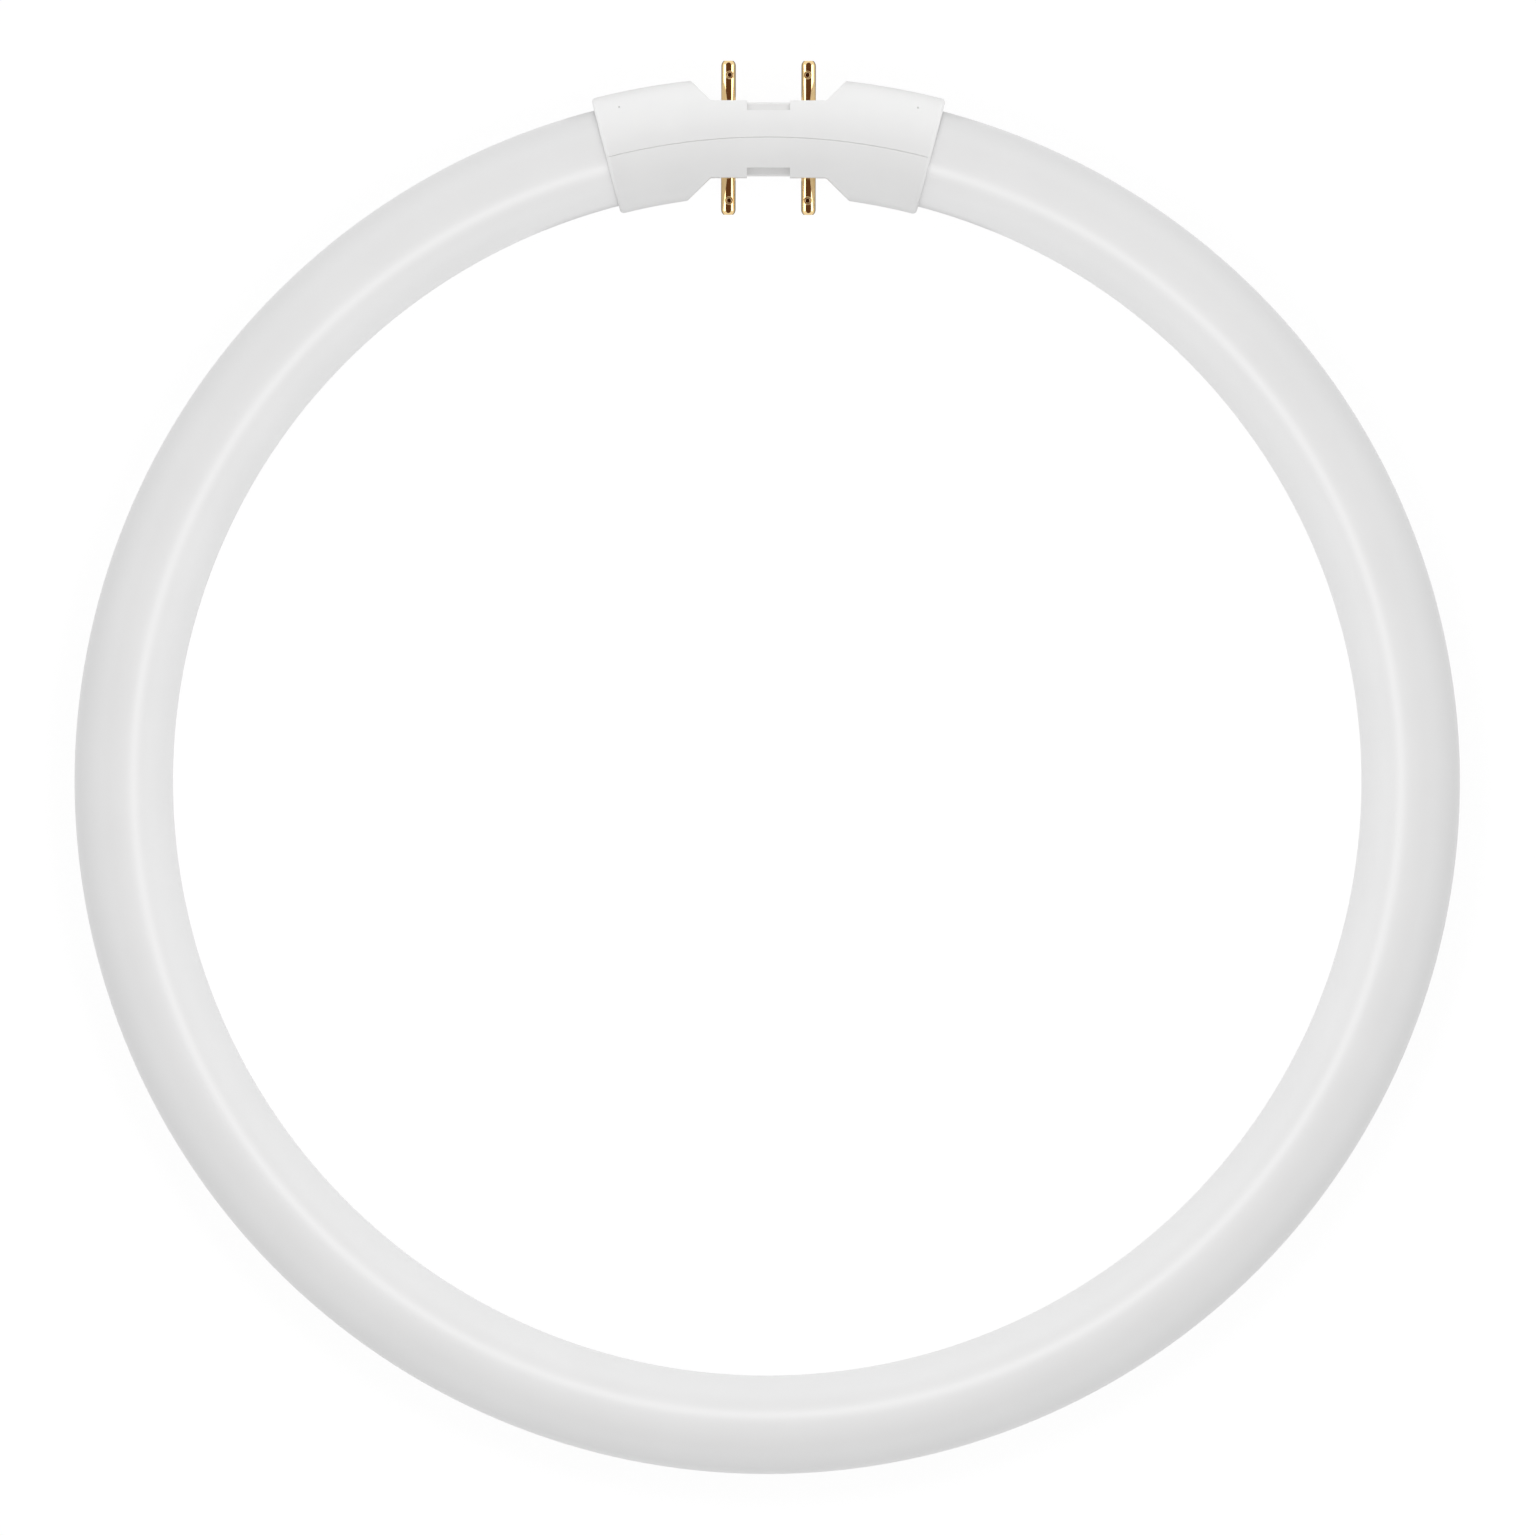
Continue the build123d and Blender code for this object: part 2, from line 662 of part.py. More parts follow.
with BuildPart() as choke_winding:
    with BuildSketch(Plane.XZ.offset(-board_outer_face - choke_flange - winding_clearance)):
        with Locations((choke_x, 0)):
            Circle(choke_winding_diameter / 2)
            Circle(choke_core_diameter / 2 + winding_clearance, mode=Mode.SUBTRACT)
    extrude(amount=2 * choke_flange + 2 * winding_clearance - choke_height)
choke_winding.part.label = "choke_winding"
export_step(choke_winding.part, "parts/choke_winding.step")

# Two fusible resistors without leads, their metal end caps soldered to the board's inner face
with BuildPart() as fuse_resistors:
    resistor_y = board_inner_face - resistor_diameter / 2
    for place in (-1, 1):
        with Locations((place * resistor_pitch / 2, resistor_y, 0)):
            Cylinder(resistor_diameter / 2 - resistor_cap_wall, resistor_length)
        for end in (-1, 1):
            cap_z = end * (resistor_length - resistor_cap_length) / 2
            with Locations((place * resistor_pitch / 2, resistor_y, cap_z)):
                Cylinder(resistor_diameter / 2, resistor_cap_length)
fuse_resistors.part.label = "fuse_resistors"
export_step(fuse_resistors.part, "parts/fuse_resistors.step")

# Wires from the board's ends through the stop ribs' windows to the strip's ends
strip_lead_radius = strip_face_radius + strip_seat_clearance + strip_lead_diameter / 2
strip_pad = strip_end + bearing_of(led_end_margin / 2)


def on_ring(radius, bearing):
    """A point in the ring's middle plane."""
    return (radius * sin(radians(bearing)), radius * cos(radians(bearing)), 0)


for side_name, side in (("left", -1), ("right", 1)):
    window_bearing = side * (tube_end + bearing_of(strip_lead_window_depth))
    with BuildPart() as strip_lead:
        wire(
            [
                (side * strip_lead_x, board_outer_face + wire_stub, 0),
                (side * strip_lead_x, board_inner_face - strip_lead_drop, 0),
                on_ring(strip_lead_radius + strip_lead_window_rise, window_bearing),
                on_ring(strip_lead_radius + strip_seat_clearance, side * strip_pad),
            ],
            strip_lead_diameter,
            strip_lead_bend_radius,
        )
    strip_lead.part.label = f"strip_lead_{side_name}"
    export_step(strip_lead.part, f"parts/strip_lead_{side_name}.step")
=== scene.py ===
import math

import bmesh
import bpy
from mathutils import Matrix, Vector


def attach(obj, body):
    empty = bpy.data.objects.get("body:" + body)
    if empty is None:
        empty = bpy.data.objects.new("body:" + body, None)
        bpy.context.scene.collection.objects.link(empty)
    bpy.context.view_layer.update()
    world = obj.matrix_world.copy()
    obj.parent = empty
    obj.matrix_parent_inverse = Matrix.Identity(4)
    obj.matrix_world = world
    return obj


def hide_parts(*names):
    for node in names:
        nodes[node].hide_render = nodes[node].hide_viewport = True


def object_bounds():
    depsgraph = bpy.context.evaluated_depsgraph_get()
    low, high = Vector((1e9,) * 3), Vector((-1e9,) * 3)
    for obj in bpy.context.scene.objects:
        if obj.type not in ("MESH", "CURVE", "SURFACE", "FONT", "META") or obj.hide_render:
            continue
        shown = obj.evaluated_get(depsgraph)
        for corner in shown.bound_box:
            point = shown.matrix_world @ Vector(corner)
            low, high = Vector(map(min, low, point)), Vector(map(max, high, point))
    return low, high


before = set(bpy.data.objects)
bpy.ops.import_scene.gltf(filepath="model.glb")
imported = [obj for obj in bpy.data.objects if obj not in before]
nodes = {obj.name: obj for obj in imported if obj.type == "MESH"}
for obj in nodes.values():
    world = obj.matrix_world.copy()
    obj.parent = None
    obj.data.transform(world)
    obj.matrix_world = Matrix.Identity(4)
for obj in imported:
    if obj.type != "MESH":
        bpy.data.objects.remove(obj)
cad_low, cad_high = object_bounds()

# LED strip: a narrow white flexible board, bonded on edge along the tube's inner-radius wall.
# Its solder mask is matt, and the copper tracks beneath show through it as faint raised bands.
mask_white = (0.86, 0.86, 0.84)
mask_white_thin = (0.78, 0.78, 0.75)


def shader(name, colour, roughness, metallic=0.0, **sockets):
    """A material whose Principled shader has these plain values on its own sockets."""
    material = bpy.data.materials.new(name)
    material.use_nodes = True
    principled = material.node_tree.nodes["Principled BSDF"]
    principled.inputs["Base Color"].default_value = (*colour, 1)
    principled.inputs["Roughness"].default_value = roughness
    principled.inputs["Metallic"].default_value = metallic
    for socket, value in sockets.items():
        principled.inputs[socket.replace("_", " ")].default_value = value
    return material


def grain(material, size, detail=3.0, stretch=(1, 1, 1)):
    """The output of a noise pattern on Object coordinates, whose grains are about this size in metres."""
    tree = material.node_tree
    place = tree.nodes.new("ShaderNodeTexCoord")
    turn = tree.nodes.new("ShaderNodeMapping")
    turn.inputs["Scale"].default_value = stretch
    noise = tree.nodes.new("ShaderNodeTexNoise")
    noise.inputs["Scale"].default_value = 1 / size
    noise.inputs["Detail"].default_value = detail
    tree.links.new(place.outputs["Object"], turn.inputs["Vector"])
    tree.links.new(turn.outputs["Vector"], noise.inputs["Vector"])
    return noise.outputs["Fac"]


def mottle(material, pattern, dark, light, low=0.35, high=0.65):
    """Colours the material between two tones by a pattern."""
    tree = material.node_tree
    ramp = tree.nodes.new("ShaderNodeValToRGB")
    ramp.color_ramp.elements[0].position = low
    ramp.color_ramp.elements[0].color = (*dark, 1)
    ramp.color_ramp.elements[1].position = high
    ramp.color_ramp.elements[1].color = (*light, 1)
    tree.links.new(pattern, ramp.inputs["Fac"])
    tree.links.new(ramp.outputs["Color"], tree.nodes["Principled BSDF"].inputs["Base Color"])


def texture(material, pattern, height, strength=1.0):
    """Raises the surface by a pattern, up to this height in metres."""
    tree = material.node_tree
    bump = tree.nodes.new("ShaderNodeBump")
    bump.inputs["Distance"].default_value = height
    bump.inputs["Strength"].default_value = strength
    tree.links.new(pattern, bump.inputs["Height"])
    tree.links.new(bump.outputs["Normal"], tree.nodes["Principled BSDF"].inputs["Normal"])


def polish(material, pattern, smoothest, roughest):
    """Varies the roughness by a pattern."""
    tree = material.node_tree
    spread = tree.nodes.new("ShaderNodeMapRange")
    spread.inputs["To Min"].default_value = smoothest
    spread.inputs["To Max"].default_value = roughest
    tree.links.new(pattern, spread.inputs["Value"])
    tree.links.new(spread.outputs["Result"], tree.nodes["Principled BSDF"].inputs["Roughness"])


def coat_node(material, *names):
    """Gives a material to pieces that keep their own solids."""
    for name in names:
        nodes[name].material_slots[0].material = material


strip_finish = shader("strip solder mask", mask_white, roughness=0.55)
strip_grain = grain(strip_finish, size=0.0004)
mottle(strip_finish, strip_grain, mask_white_thin, mask_white)
texture(strip_finish, strip_grain, height=0.00001)
coat_node(strip_finish, "led_strip")

# LED packages: 84 white housings in one even row along the strip, each filled to its rim with phosphor.
# The cured gel is yellow, slightly glossy and grainy from the phosphor in it.
phosphor_deep = (0.78, 0.55, 0.10)
phosphor_pale = (0.88, 0.70, 0.22)

phosphor = shader(
    "phosphor gel", phosphor_pale, roughness=0.32, Subsurface_Weight=0.1, Subsurface_Scale=0.0003
)
phosphor_grain = grain(phosphor, size=0.00012)
mottle(phosphor, phosphor_grain, phosphor_deep, phosphor_pale)
texture(phosphor, phosphor_grain, height=0.000008)
coat_node(phosphor, "led_packages")

# Silicone: the bead under the strip, and the two rings of glue between the tube's ends and the collars.
# It is milky, soft-looking and a little uneven where it was squeezed flat.
silicone_cloudy = (0.74, 0.75, 0.75)
silicone_clear = (0.82, 0.83, 0.83)

silicone = shader(
    "milky silicone", silicone_clear, roughness=0.38, Subsurface_Weight=0.2, Subsurface_Scale=0.0006
)
silicone_clouds = grain(silicone, size=0.002, detail=2.0)
mottle(silicone, silicone_clouds, silicone_cloudy, silicone_clear)
texture(silicone, silicone_clouds, height=0.00005)
coat_node(silicone, "strip_adhesive", "tube_bond_left", "tube_bond_right")

# Driver board: green fibreglass laminate under a glossy solder mask.
# The weave of the glass cloth shows as a faint grid of light and dark cells.
laminate_dark = (0.015, 0.115, 0.045)
laminate_light = (0.03, 0.17, 0.07)
cloth_pitch = 0.0005

laminate = shader("board laminate", laminate_light, roughness=0.3, Coat_Weight=0.3, Coat_Roughness=0.2)
weave = laminate.node_tree.nodes.new("ShaderNodeTexChecker")
weave.inputs["Scale"].default_value = 1 / cloth_pitch
weave_place = laminate.node_tree.nodes.new("ShaderNodeTexCoord")
laminate.node_tree.links.new(weave_place.outputs["Object"], weave.inputs["Vector"])
mottle(laminate, weave.outputs["Fac"], laminate_dark, laminate_light, low=0.0, high=1.0)
texture(laminate, grain(laminate, size=0.0005), height=0.00001)
coat_node(laminate, "driver_board")

# Chips: the bridge rectifier and the driver, moulded in black epoxy with tinned legs.
# The epoxy is matt and finely pitted, as it leaves a spark-eroded mould.
epoxy_black = (0.018, 0.018, 0.02)
epoxy_grey = (0.035, 0.035, 0.038)

epoxy = shader("moulded epoxy", epoxy_black, roughness=0.5)
epoxy_pits = grain(epoxy, size=0.0001)
mottle(epoxy, epoxy_pits, epoxy_black, epoxy_grey)
texture(epoxy, epoxy_pits, height=0.000012)
coat_node(epoxy, "bridge_rectifier", "driver_ic")

# Input capacitor: an aluminium can with a crimped neck, which smooths the rectified mains.
# Drawn aluminium, so fine lines run along the can.
can_bright = (0.80, 0.80, 0.81)
can_dull = (0.62, 0.62, 0.64)

can_metal = shader("drawn aluminium", can_bright, roughness=0.28, metallic=1.0)
can_lines = grain(can_metal, size=0.0002, stretch=(1, 1, 0.05))
mottle(can_metal, can_lines, can_dull, can_bright)
texture(can_metal, can_lines, height=0.000006)
coat_node(can_metal, "input_capacitor")

# Film capacitor: a block dipped in dark red epoxy lacquer.
# The dip leaves the lacquer glossy, with a slow orange-peel waviness.
lacquer_dark = (0.23, 0.025, 0.012)
lacquer_light = (0.33, 0.05, 0.02)

lacquer = shader("dipped red lacquer", lacquer_light, roughness=0.22, Coat_Weight=0.5, Coat_Roughness=0.1)
lacquer_peel = grain(lacquer, size=0.0008, detail=1.5)
mottle(lacquer, lacquer_peel, lacquer_dark, lacquer_light)
texture(lacquer, lacquer_peel, height=0.00003)
coat_node(lacquer, "film_capacitor")

# Choke: a pressed and fired ferrite drum, with enamelled copper wire wound between its flanges.
# The ferrite is dark, dry and granular, and the winding shows its turns as fine ridges, with painted shade
# darkening the grooves between them.
ferrite_dark = (0.02, 0.02, 0.021)
ferrite_light = (0.055, 0.053, 0.05)
# painted shade: the colour of the grooves between the turns
copper_groove_shade = (0.42, 0.13, 0.045)
copper_light = (0.78, 0.33, 0.13)
turn_pitch = 0.00016
wave_turn = 20.0  # radians that the wave texture turns by in each unit of length

ferrite = shader("fired ferrite", ferrite_dark, roughness=0.7)
ferrite_grains = grain(ferrite, size=0.00015)
mottle(ferrite, ferrite_grains, ferrite_dark, ferrite_light)
texture(ferrite, ferrite_grains, height=0.00002)
coat_node(ferrite, "choke_core")

winding = shader("enamelled copper", copper_light, roughness=0.25, metallic=1.0)
turns = winding.node_tree.nodes.new("ShaderNodeTexWave")
turns.bands_direction = "Y"
turns.inputs["Scale"].default_value = math.tau / (wave_turn * turn_pitch)
turns_place = winding.node_tree.nodes.new("ShaderNodeTexCoord")
winding.node_tree.links.new(turns_place.outputs["Object"], turns.inputs["Vector"])
# The wave that raises the turns also paints the grooves between them darker, as painted shade.
mottle(winding, turns.outputs["Fac"], copper_groove_shade, copper_light, low=0.0, high=1.0)
texture(winding, turns.outputs["Fac"], height=0.00004)
coat_node(winding, "choke_winding")

# Fusible resistors: two ceramic rods with metal end caps, lacquered blue.
# The lacquer is satin and covers the rods a little unevenly.
resistor_dark = (0.05, 0.17, 0.34)
resistor_light = (0.09, 0.25, 0.45)

resistor_lacquer = shader("blue resistor lacquer", resistor_light, roughness=0.35)
resistor_clouds = grain(resistor_lacquer, size=0.0006)
mottle(resistor_lacquer, resistor_clouds, resistor_dark, resistor_light)
texture(resistor_lacquer, resistor_clouds, height=0.00001)
coat_node(resistor_lacquer, "fuse_resistors")

# Pin leads: four short tinned copper wires, soldered into the board and crimped inside the pins.
# Hot tinning leaves them bright but slightly lumpy.
tin_bright = (0.78, 0.78, 0.77)
tin_dull = (0.60, 0.60, 0.59)

tinned = shader("tinned wire", tin_bright, roughness=0.25, metallic=1.0)
tin_lumps = grain(tinned, size=0.0004)
mottle(tinned, tin_lumps, tin_dull, tin_bright)
texture(tinned, tin_lumps, height=0.00001)
coat_node(tinned, *[name for name in nodes if name.startswith("pin_lead_")])

# Strip leads: two wires in soft white silicone insulation, from the board into the tube.
# The insulation is extruded, so its faint marks run along the wire.
insulation_white = (0.83, 0.83, 0.82)
insulation_shade = (0.76, 0.76, 0.75)

insulation = shader("white wire insulation", insulation_white, roughness=0.45)
insulation_marks = grain(insulation, size=0.0005, stretch=(0.2, 1, 1))
mottle(insulation, insulation_marks, insulation_shade, insulation_white)
texture(insulation, insulation_marks, height=0.00001)
coat_node(insulation, "strip_lead_left", "strip_lead_right")

# Glass tube: one length of glass tube bent into a ring and cut square at both ends, under the cap.
# A baked white coating makes it opal, so its face is milk-white and softly glossy, with no strip showing.
ring_diameter = 0.225
tube_diameter = 0.016
glass_wall = 0.0008
tube_gap = 0.035  # between the cut ends, along the middle of the tube
cut_edge_radius = 0.0002
cut_edge_segments = 2
section_segments = 64
ring_steps = 240
glass_smooth_angle = math.radians(50)  # the cut edges stay sharp, the tube's wall doesn't
opal_white = (0.878, 0.878, 0.879)
opal_shade = (0.865, 0.865, 0.866)

ring_radius = (ring_diameter - tube_diameter) / 2
tube_end = tube_gap / 2 / ring_radius


def finished_piece(name, mesh_in_work, material, smooth_angle):
    """Makes an object of a bmesh, smooth up to an angle between its faces, in one material."""
    bmesh.ops.recalc_face_normals(mesh_in_work, faces=mesh_in_work.faces)
    mesh = bpy.data.meshes.new(name)
    mesh_in_work.to_mesh(mesh)
    mesh_in_work.free()
    mesh.materials.append(material)
    mesh.shade_smooth()
    mesh.set_sharp_from_angle(angle=smooth_angle)
    piece = bpy.data.objects.new(name, mesh)
    bpy.context.scene.collection.objects.link(piece)
    return piece


opal = shader("opal glass", opal_white, roughness=0.36, IOR=1.5)
opal_clouds = grain(opal, size=0.012, detail=2.0)
mottle(opal, opal_clouds, opal_shade, opal_white)
polish(opal, opal_clouds, smoothest=0.33, roughest=0.38)
texture(opal, grain(opal, size=0.006, detail=1.0), height=0.00001)

tube_mesh = bmesh.new()
wall_circles = []
for radius in (tube_diameter / 2, tube_diameter / 2 - glass_wall):
    circle = bmesh.ops.create_circle(tube_mesh, segments=section_segments, radius=radius)
    wall_circles += circle["verts"]
bmesh.ops.rotate(tube_mesh, verts=wall_circles, matrix=Matrix.Rotation(math.pi / 2, 3, "X"))
bmesh.ops.translate(tube_mesh, verts=wall_circles, vec=(ring_radius, 0, 0))
bmesh.ops.rotate(tube_mesh, verts=wall_circles, matrix=Matrix.Rotation(math.pi / 2 - tube_end, 3, "Z"))
first_cut = list(tube_mesh.edges)
swept = bmesh.ops.spin(
    tube_mesh,
    geom=first_cut,
    cent=(0, 0, 0),
    axis=(0, 0, -1),
    angle=math.tau - 2 * tube_end,
    steps=ring_steps,
    use_merge=False,
)
last_cut = [item for item in swept["geom_last"] if isinstance(item, bmesh.types.BMEdge)]
for cut in (first_cut, last_cut):
    rim = bmesh.ops.bridge_loops(tube_mesh, edges=cut)
    rim_faces = set(rim["faces"])
    rim_edges = {edge for face in rim_faces for edge in face.edges if set(edge.link_faces) - rim_faces}
    bmesh.ops.bevel(
        tube_mesh,
        geom=list(rim_edges),
        offset=cut_edge_radius,
        affect="EDGES",
        segments=cut_edge_segments,
        profile=0.5,
        material=-1,
    )
opal_tube = finished_piece("opal_tube", tube_mesh, opal, glass_smooth_angle)
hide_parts("glass_tube")
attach(opal_tube, "root")

# Contact pins: four hollow brass pins, turned from rod and polished, pressed into the shells from inside.
# Each is punched from the front onto its wire, which leaves a dimple with a raised, duller rim near the tip.
# The bottom of the dimple is painted brown, as painted shade in its hollow.
brass_bright = (0.93, 0.70, 0.38)
brass_deep = (0.88, 0.63, 0.30)
brass_edge = (0.42, 0.42, 0.44)  # how much of the light stays at grazing angles
dimple_places = ((0.00633, 0.1147, 0), (0.00639, 0.0943, 0))  # on the right; the left ones mirror them
dimple_rim_radius = 0.00068
dimple_pit_radius = 0.00031
dimple_fade = 0.00006
dimple_roughness = 0.34
# painted shade: the brown that darkens the pit at the bottom of each dimple
pit_painted_shade = (0.42, 0.20, 0.08)

brass = shader("polished brass", brass_bright, roughness=0.14, metallic=1.0, Specular_Tint=(*brass_edge, 1))
brass_lines = grain(brass, size=0.0003, stretch=(1, 0.08, 1))
mottle(brass, brass_lines, brass_deep, brass_bright)
polish(brass, brass_lines, smoothest=0.05, roughest=0.10)
texture(brass, brass_lines, height=0.0000015)
brass_tree = brass.node_tree
brass_place = brass_tree.nodes.new("ShaderNodeTexCoord")
mirrored = brass_tree.nodes.new("ShaderNodeVectorMath")
mirrored.operation = "ABSOLUTE"
flattened = brass_tree.nodes.new("ShaderNodeVectorMath")
flattened.operation = "MULTIPLY"
flattened.inputs[1].default_value = (1, 1, 0)  # distances are measured as seen from the front
nearest = brass_tree.nodes.new("ShaderNodeMath")
nearest.operation = "MINIMUM"
brass_tree.links.new(brass_place.outputs["Object"], mirrored.inputs[0])
brass_tree.links.new(mirrored.outputs[0], flattened.inputs[0])
for index, dimple_place in enumerate(dimple_places):
    away = brass_tree.nodes.new("ShaderNodeVectorMath")
    away.operation = "DISTANCE"
    away.inputs[1].default_value = dimple_place
    brass_tree.links.new(flattened.outputs[0], away.inputs[0])
    brass_tree.links.new(away.outputs["Value"], nearest.inputs[index])
punched = brass_tree.nodes.new("ShaderNodeMapRange")
punched.inputs["From Min"].default_value = dimple_rim_radius
punched.inputs["From Max"].default_value = dimple_rim_radius + dimple_fade
punched.inputs["To Min"].default_value = dimple_roughness
brass_shader = brass_tree.nodes["Principled BSDF"]
brass_tree.links.new(nearest.outputs[0], punched.inputs["Value"])
brass_tree.links.new(brass_shader.inputs["Roughness"].links[0].from_socket, punched.inputs["To Max"])
brass_tree.links.new(punched.outputs["Result"], brass_shader.inputs["Roughness"])
# The pit at the bottom of each dimple is painted brown, as painted shade in its hollow.
pit_shade_mask = brass_tree.nodes.new("ShaderNodeMapRange")
pit_shade_mask.inputs["From Min"].default_value = dimple_pit_radius
pit_shade_mask.inputs["From Max"].default_value = dimple_pit_radius + dimple_fade
shaded_pit = brass_tree.nodes.new("ShaderNodeMixRGB")
shaded_pit.inputs["Color1"].default_value = (*pit_painted_shade, 1)
brass_tree.links.new(nearest.outputs[0], pit_shade_mask.inputs["Value"])
brass_tree.links.new(pit_shade_mask.outputs["Result"], shaded_pit.inputs["Fac"])
brass_tree.links.new(brass_shader.inputs["Base Color"].links[0].from_socket, shaded_pit.inputs["Color2"])
brass_tree.links.new(shaded_pit.outputs["Color"], brass_shader.inputs["Base Color"])
contact_pins = [name for name in nodes if name.startswith("pin_") and not name.startswith("pin_lead_")]
coat_node(brass, *contact_pins)

# Cap shells: two halves moulded in white heat-resistant plastic, snapped together around the driver.
# The mould was spark-eroded, so the faces have a fine satin grain that hides the flow of the plastic.
plastic_white = (0.885, 0.885, 0.882)
plastic_shade = (0.868, 0.868, 0.866)

plastic = shader("moulded white plastic", plastic_white, roughness=0.42)
mould_flow = grain(plastic, size=0.009, detail=2.0)
mottle(plastic, mould_flow, plastic_shade, plastic_white)
polish(plastic, mould_flow, smoothest=0.40, roughest=0.46)
texture(plastic, grain(plastic, size=0.00025, detail=2.0), height=0.000003)
cap_shells = ("outer_cap_shell", "inner_cap_shell")
coat_node(plastic, *cap_shells)

# Floor: a white table, seen by the camera and in reflections as plain white that still takes a faint shadow.
# The lamp lies on its cap, with its axis upright.
floor_size = 12.0
floor_clearance = 0.0001
floor_colour = (0.82, 0.82, 0.82)
plain_white = (1, 1, 1, 1)
shadow_share = 0.15
table_glow = 1.07

bpy.ops.mesh.primitive_plane_add(size=floor_size, location=(0, 0, cad_low.z - floor_clearance))
floor = bpy.context.object
floor.name = "white_table"
table_white = shader("white table", floor_colour, roughness=0.9)
floor.data.materials.append(table_white)
table_tree = table_white.node_tree
glow = table_tree.nodes.new("ShaderNodeEmission")
glow.inputs["Color"].default_value = plain_white
glow.inputs["Strength"].default_value = table_glow
rays = table_tree.nodes.new("ShaderNodeLightPath")
seen = table_tree.nodes.new("ShaderNodeMath")
seen.operation = "MAXIMUM"
seen_or_through = table_tree.nodes.new("ShaderNodeMath")
seen_or_through.operation = "MAXIMUM"
share = table_tree.nodes.new("ShaderNodeMath")
share.operation = "MULTIPLY"
share.inputs[1].default_value = 1 - shadow_share
blend = table_tree.nodes.new("ShaderNodeMixShader")
output = table_tree.nodes["Material Output"]
table_tree.links.new(rays.outputs["Is Camera Ray"], seen.inputs[0])
table_tree.links.new(rays.outputs["Is Glossy Ray"], seen.inputs[1])
table_tree.links.new(seen.outputs[0], seen_or_through.inputs[0])
table_tree.links.new(rays.outputs["Is Transmission Ray"], seen_or_through.inputs[1])
table_tree.links.new(seen_or_through.outputs[0], share.inputs[0])
table_tree.links.new(share.outputs[0], blend.inputs["Fac"])
table_tree.links.new(table_tree.nodes["Principled BSDF"].outputs[0], blend.inputs[1])
table_tree.links.new(glow.outputs[0], blend.inputs[2])
table_tree.links.new(blend.outputs[0], output.inputs["Surface"])

# Studio: a white surround, dark overhead where the camera stands, as in a small product booth.
# The camera sees it as plain white. Reflections see it bright at the sides and warm and dark above.
surround_level = 0.70
surround_side = 1.0
surround_overhead = (0.12, 0.055, 0.028)
overhead_reach = (1, 0.5, 1)  # the dark part is twice as long from the front of the booth to its back
overhead_from = 0.66  # the height on a unit dome at which the dark part begins
overhead_full = 0.73

world = bpy.data.worlds.new("product booth")
bpy.context.scene.world = world
world.use_nodes = True
booth = world.node_tree
background = booth.nodes["Background"]
direction = booth.nodes.new("ShaderNodeTexCoord")
stretched = booth.nodes.new("ShaderNodeVectorMath")
stretched.operation = "MULTIPLY"
stretched.inputs[1].default_value = overhead_reach
unit = booth.nodes.new("ShaderNodeVectorMath")
unit.operation = "NORMALIZE"
split = booth.nodes.new("ShaderNodeSeparateXYZ")
dome = booth.nodes.new("ShaderNodeValToRGB")
dome.color_ramp.elements[0].position = overhead_from
dome.color_ramp.elements[0].color = (surround_side, surround_side, surround_side, 1)
dome.color_ramp.elements[1].position = overhead_full
dome.color_ramp.elements[1].color = (*surround_overhead, 1)
booth_rays = booth.nodes.new("ShaderNodeLightPath")
pick_glossy = booth.nodes.new("ShaderNodeMixRGB")
pick_glossy.inputs["Color1"].default_value = (surround_level, surround_level, surround_level, 1)
pick_camera = booth.nodes.new("ShaderNodeMixRGB")
pick_camera.inputs["Color2"].default_value = plain_white
booth.links.new(direction.outputs["Generated"], stretched.inputs[0])
booth.links.new(stretched.outputs[0], unit.inputs[0])
booth.links.new(unit.outputs[0], split.inputs[0])
booth.links.new(split.outputs["Z"], dome.inputs["Fac"])
booth.links.new(booth_rays.outputs["Is Glossy Ray"], pick_glossy.inputs["Fac"])
booth.links.new(dome.outputs["Color"], pick_glossy.inputs["Color2"])
booth.links.new(pick_glossy.outputs["Color"], pick_camera.inputs["Color1"])
booth.links.new(booth_rays.outputs["Is Camera Ray"], pick_camera.inputs["Fac"])
booth.links.new(pick_camera.outputs["Color"], background.inputs["Color"])

# Lamps: a small round one over the middle of the ring draws the soft highlight along the tube.
# A broad one stands beyond the cap. Four more light the cap alone, which evens out its greys and
# brightens its rims.
ring_lamp_place = (0, 0, 0.246)
ring_lamp_size = (0.07, 0.07)
ring_lamp_watts = 0.129
top_lamp_place = (0, 0.75, 0.45)
top_lamp_size = (0.9, 0.5)
top_lamp_watts = 0.906
cap_lamp_size = (0.3, 0.15)
cap_inner_place = (0, -0.29, 0.05)
cap_inner_watts = 0.15
cap_outer_place = (0, 0.4, 0.35)
cap_outer_watts = 0.35
cap_side_size = (0.1, 0.06)
cap_side_distance = 0.35
cap_side_height = 0.03
cap_side_watts = 0.15

ring_middle = (0, 0, 0)
cap_middle = (0, ring_radius, 0)


def soft_lamp(name, place, aim, size, watts, shape="RECTANGLE"):
    """An area lamp that points from its place at another."""
    data = bpy.data.lights.new(name, "AREA")
    data.shape = shape
    data.size, data.size_y = size
    data.energy = watts
    lamp = bpy.data.objects.new(name, data)
    bpy.context.scene.collection.objects.link(lamp)
    lamp.location = place
    lamp.rotation_euler = (Vector(aim) - Vector(place)).to_track_quat("-Z", "Y").to_euler()
    lamp.visible_camera = False
    return lamp


def set_of_pieces(title, names):
    """A collection of these pieces, to light them apart from the rest."""
    collection = bpy.data.collections.new(title)
    for name in names:
        collection.objects.link(nodes[name])
    return collection


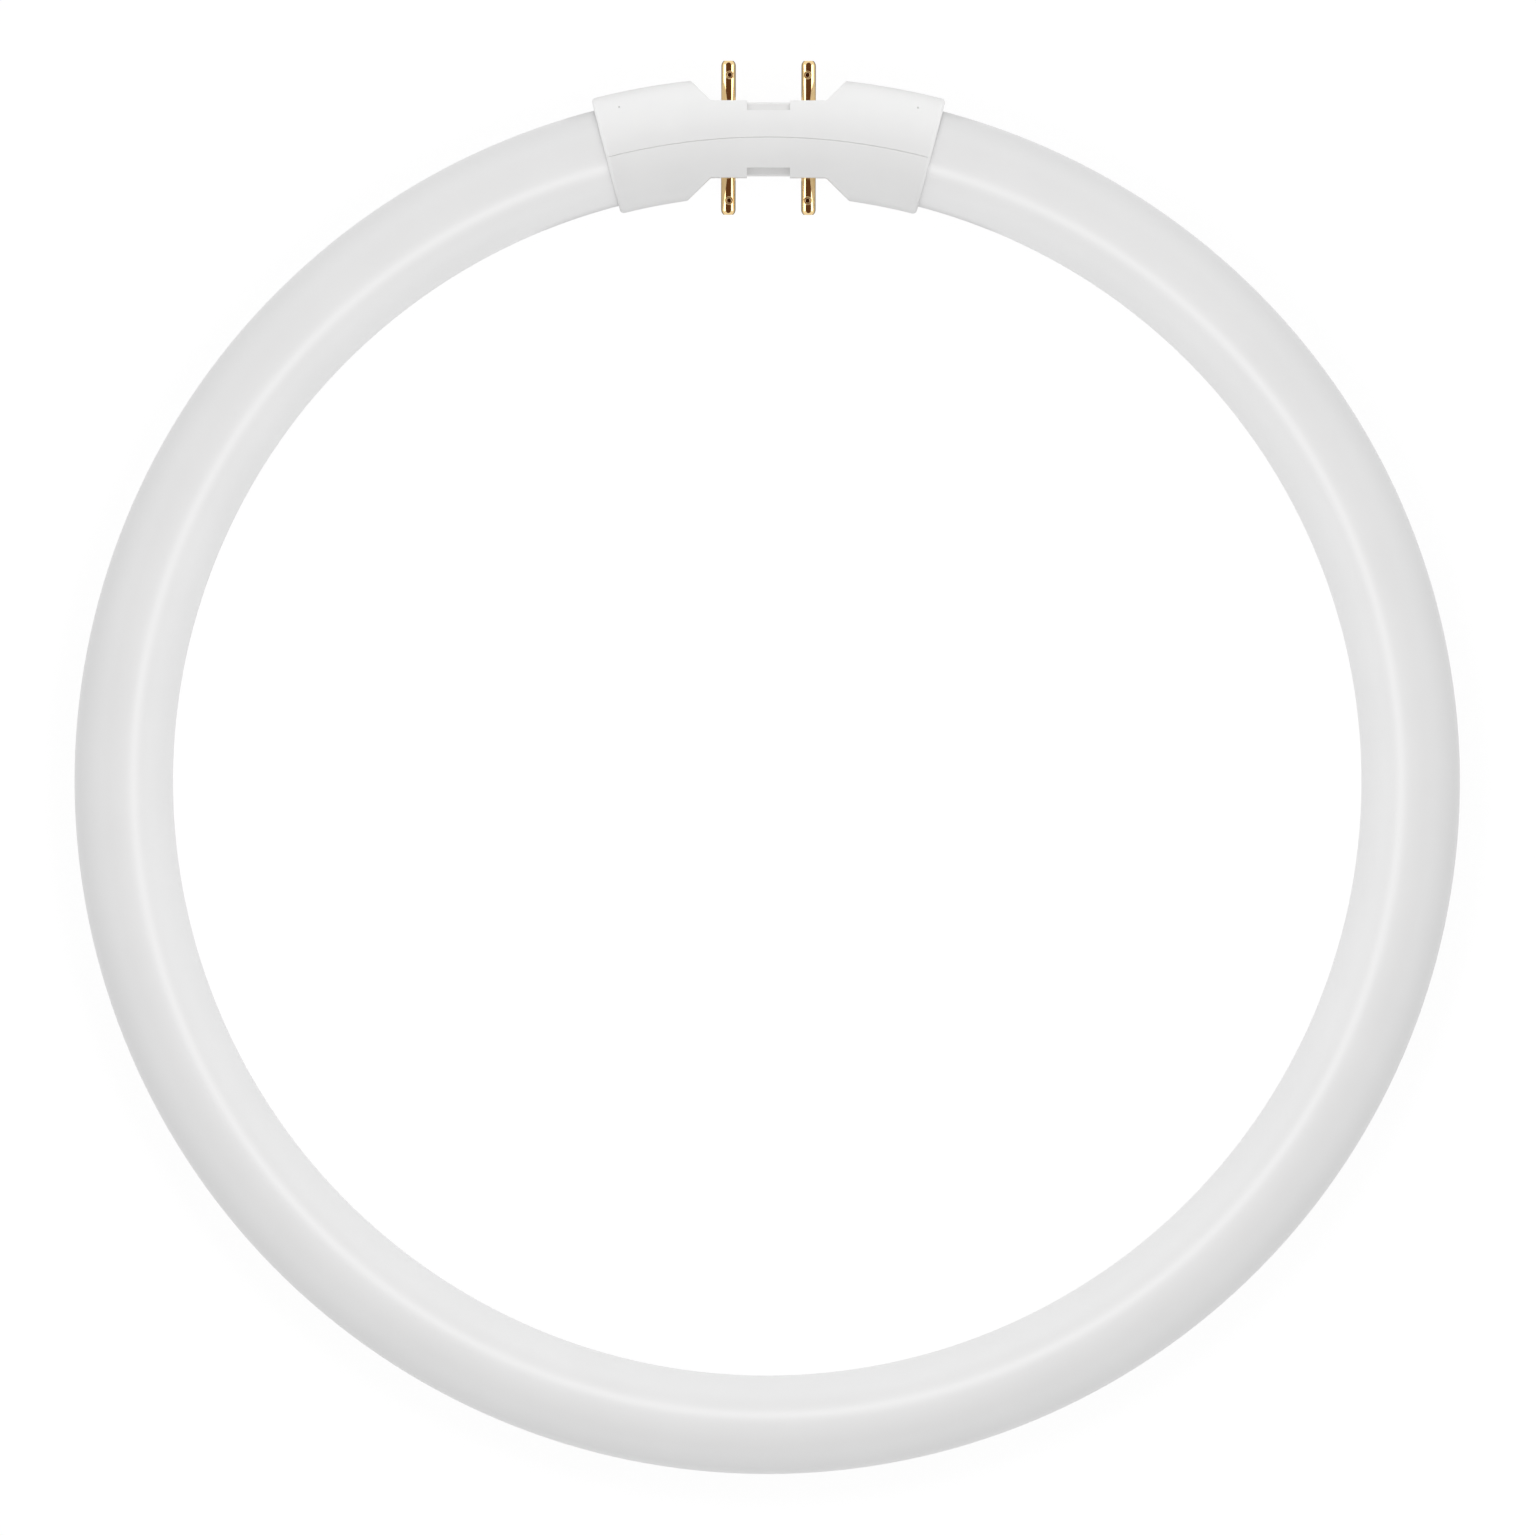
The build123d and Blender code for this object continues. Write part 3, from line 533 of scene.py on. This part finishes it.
ring_lamp = soft_lamp(
    "ring lamp", ring_lamp_place, ring_middle, ring_lamp_size, ring_lamp_watts, shape="DISK"
)
top_lamp = soft_lamp("top lamp", top_lamp_place, ring_middle, top_lamp_size, top_lamp_watts)
cap_lamps = [
    soft_lamp("cap inner lamp", cap_inner_place, cap_middle, cap_lamp_size, cap_inner_watts),
    soft_lamp("cap outer lamp", cap_outer_place, cap_middle, cap_lamp_size, cap_outer_watts),
]
for side_name, side in (("left", -1), ("right", 1)):
    name = f"cap {side_name} lamp"
    place = (side * cap_side_distance, ring_radius, cap_side_height)
    cap_lamps.append(soft_lamp(name, place, cap_middle, cap_side_size, cap_side_watts))
cap_only = set_of_pieces("cap only", cap_shells)
all_but_cap_and_pins = set_of_pieces("all but the cap and the pins", (*cap_shells, *contact_pins))
for member in all_but_cap_and_pins.collection_objects:
    member.light_linking.link_state = "EXCLUDE"
ring_lamp.light_linking.receiver_collection = all_but_cap_and_pins
for lamp in cap_lamps:
    lamp.light_linking.receiver_collection = cap_only
for lamp in (top_lamp, *cap_lamps):
    lamp.visible_glossy = False

# Cards: two bright ones stand left and right of the cap, and two grey ones lie on the table beneath the pins.
# Only reflections see them. They give the pins a white band on both sides of the dark middle, and grey edges.
# The grey cards are a painted reflection of shade: they stand for the table's shadow beneath the pins.
# The bright ones shine on the pins alone, and in all other reflections the booth shows through them.
side_card_distance = 0.12
side_card_low = 0.02
side_card_high = 0.111
side_card_length = 0.12
side_card_strength = 2.2  # the white booth behind them adds 1 to this
edge_card_length = 0.07
edge_card_width = 0.016
edge_card_lift = 0.00005
edge_card_middles = (0.1193, 0.0897)  # each card reaches from the cap's waist past the noses of its pins
edge_card_strength = 0.45
half_side = 0.5  # of a square of one metre, which is then scaled
upright = math.pi / 2
flat = 0


def glowing_card(name, width, length, turn, place, strength, clearness):
    """A plane card that only glossy rays see, glowing with this strength, opaque at a clearness of 0."""
    card_glow = bpy.data.materials.new(name)
    card_glow.use_nodes = True
    card_tree = card_glow.node_tree
    card_tree.nodes.remove(card_tree.nodes["Principled BSDF"])
    card_light = card_tree.nodes.new("ShaderNodeEmission")
    card_light.inputs["Strength"].default_value = strength
    card_clear = card_tree.nodes.new("ShaderNodeBsdfTransparent")
    card_clear.inputs["Color"].default_value = (clearness, clearness, clearness, 1)
    card_sum = card_tree.nodes.new("ShaderNodeAddShader")
    card_tree.links.new(card_light.outputs[0], card_sum.inputs[0])
    card_tree.links.new(card_clear.outputs[0], card_sum.inputs[1])
    card_tree.links.new(card_sum.outputs[0], card_tree.nodes["Material Output"].inputs["Surface"])
    card_mesh = bmesh.new()
    bmesh.ops.create_grid(card_mesh, x_segments=1, y_segments=1, size=half_side)
    bmesh.ops.scale(card_mesh, verts=card_mesh.verts, vec=(width, length, 1))
    bmesh.ops.rotate(card_mesh, verts=card_mesh.verts, matrix=Matrix.Rotation(turn, 3, "Y"))
    bmesh.ops.translate(card_mesh, verts=card_mesh.verts, vec=place)
    card = finished_piece(name, card_mesh, card_glow, smooth_angle=0)
    card.visible_camera = False
    card.visible_diffuse = False
    card.visible_transmission = False
    card.visible_shadow = False
    return card


pins_only = set_of_pieces("pins only", contact_pins)
for side in (-1, 1):
    middle = (side * side_card_distance, ring_radius, (side_card_low + side_card_high) / 2)
    height = side_card_high - side_card_low
    name = f"side_card_{side}"
    side_card = glowing_card(name, height, side_card_length, upright, middle, side_card_strength, clearness=1)
    side_card.light_linking.receiver_collection = pins_only
# The grey cards beneath the pins: a painted reflection of the table's shadow there.
for row, row_middle in zip(("outer", "inner"), edge_card_middles):
    middle = (0, row_middle, floor.location.z + edge_card_lift)
    name = f"edge_card_{row}"
    glowing_card(name, edge_card_length, edge_card_width, flat, middle, edge_card_strength, clearness=0)

# Camera: straight above the ring, with the cap at the top of the picture.
# The picture's 1536 pixels cover this width of the ring's middle plane.
picture_width = 0.24944
picture_centre = (0.000115, 0.002165)
camera_height = 8.0
camera_roll = math.radians(0.11)  # the cap stands this little right of the top in the picture
sensor_width = 36.0

camera_data = bpy.data.cameras.new("camera")
camera_data.sensor_width = sensor_width
camera_data.lens = sensor_width * camera_height / picture_width
camera = bpy.data.objects.new("camera", camera_data)
bpy.context.scene.collection.objects.link(camera)
camera.location = (*picture_centre, camera_height)
camera.rotation_euler = (0, 0, camera_roll)
bpy.context.scene.camera = camera
bpy.context.scene.view_settings.view_transform = "Standard"
